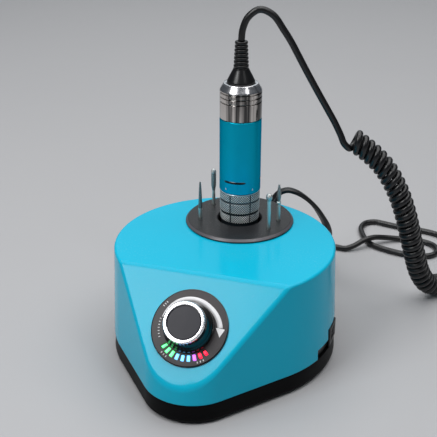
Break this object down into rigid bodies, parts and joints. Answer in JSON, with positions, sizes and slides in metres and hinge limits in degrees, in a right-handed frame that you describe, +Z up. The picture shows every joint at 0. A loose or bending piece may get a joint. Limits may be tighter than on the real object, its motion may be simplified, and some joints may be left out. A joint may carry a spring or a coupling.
{
  "type": "electric nail drill",
  "caption": "Rounded-triangle control box with a speed dial on its sloped front, a bit plate on top holding the handpiece and its bits, a curly handpiece cord and a flat mains lead.",
  "frame": {"origin": "centre of the box-and-handpiece bounding box, on the table plane that the feet stand on; the cords and plugs are left out of that box", "axes": "+Z up along the parked handpiece; -Y towards the nose with the speed dial; +X to the right when facing the dial"},
  "size_m": [0.25, 0.2991, 0.2095],
  "materials": {
    "blue_gloss": "high-gloss moulded ABS",
    "black_plastic": "fine satin moulded ABS",
    "satin_black": "soft satin black plastic",
    "rubber": "matt moulded rubber",
    "dial_grey": "satin printed dial",
    "chrome": "polished plating",
    "steel": "bright turned steel",
    "anodised_blue": "satin anodised aluminium",
    "circuit_board": "solder mask",
    "copper": "enamelled winding",
    "cord": "smooth PVC jacket",
    "led_green": "lit light bar",
    "led_ice": "lit light bar",
    "led_violet": "lit light bar",
    "led_red": "lit light bar"
  },
  "bodies": {
    "root": {"upper_shell": "blue_gloss", "base_tray": "black_plastic", "foot_front_left": "rubber", "foot_front_right": "rubber", "foot_rear_left": "rubber", "foot_rear_right": "rubber", "case_screw_front": "steel", "case_screw_left": "steel", "case_screw_right": "steel", "case_screw_rear": "steel", "rear_panel": "black_plastic", "handpiece_socket": "satin_black", "pedal_socket": "steel", "switch_housing": "black_plastic", "dial_plate": "dial_grey", "control_board": "circuit_board", "potentiometer": "steel", "power_board": "circuit_board", "transformer": "copper", "bit_plate": "satin_black", "holder_well": "satin_black", "curly_cord": "cord", "cord_tail": "cord", "mains_lead": "cord", "mains_coil": "cord", "handpiece_plug": "satin_black", "mains_boot": "rubber", "mains_plug": "satin_black", "led_bar_1": "led_green", "led_bar_2": "led_green", "led_bar_3": "led_green", "led_bar_4": "led_ice", "led_bar_5": "led_ice", "led_bar_6": "led_ice", "led_bar_7": "led_violet", "led_bar_8": "led_red", "led_bar_9": "led_red"},
    "knob": {"knob_body": "black_plastic", "knob_ring": "chrome", "knob_face": "satin_black", "knob_shaft": "steel"},
    "handpiece": {"nose_cone": "steel", "handpiece_barrel": "anodised_blue", "end_cap": "chrome", "motor_can": "steel", "front_bearing": "steel", "rear_bearing": "steel", "cord_boot": "rubber", "handpiece_cord": "cord"},
    "collar": {"twist_collar": "steel"},
    "rotor": {"rotor": "copper", "collet": "steel"},
    "rocker": {"direction_rocker": "satin_black"},
    "needle_bit": {"bit_needle": "steel"},
    "barrel_bit": {"bit_barrel": "steel"},
    "ball_bit": {"bit_ball": "steel"},
    "flame_bit": {"bit_flame": "steel"}
  },
  "joints": [
    {"name": "speed_knob", "type": "hinge", "parent": "root", "child": "knob", "pos_m": [0, -0.05612, 0.04868], "axis": [0, 0.7133, -0.7009], "range_deg": [0, 270]},
    {"name": "handpiece_lift", "type": "slide", "parent": "root", "child": "handpiece", "axis": [0, 0, 1], "range_m": [0, 0.06]},
    {"name": "collar_twist", "type": "hinge", "parent": "handpiece", "child": "collar", "pos_m": [0, 0.0425, 0.08], "axis": [0, 0, 1], "range_deg": [0, 60]},
    {"name": "spindle_spin", "type": "hinge", "parent": "handpiece", "child": "rotor", "pos_m": [0, 0.0425, 0.11], "axis": [0, 0, 1], "continuous": true},
    {"name": "direction_switch", "type": "hinge", "parent": "root", "child": "rocker", "pos_m": [0.0682, 0.00991, 0.02], "axis": [0, 0, 1], "range_deg": [-8, 8]},
    {"name": "needle_bit_lift", "type": "slide", "parent": "root", "child": "needle_bit", "axis": [0, 0, 1], "range_m": [0, 0.03]},
    {"name": "barrel_bit_lift", "type": "slide", "parent": "root", "child": "barrel_bit", "axis": [0, 0, 1], "range_m": [0, 0.03]},
    {"name": "ball_bit_lift", "type": "slide", "parent": "root", "child": "ball_bit", "axis": [0, 0, 1], "range_m": [0, 0.03]},
    {"name": "flame_bit_lift", "type": "slide", "parent": "root", "child": "flame_bit", "axis": [0, 0, 1], "range_m": [0, 0.03]}
  ]
}
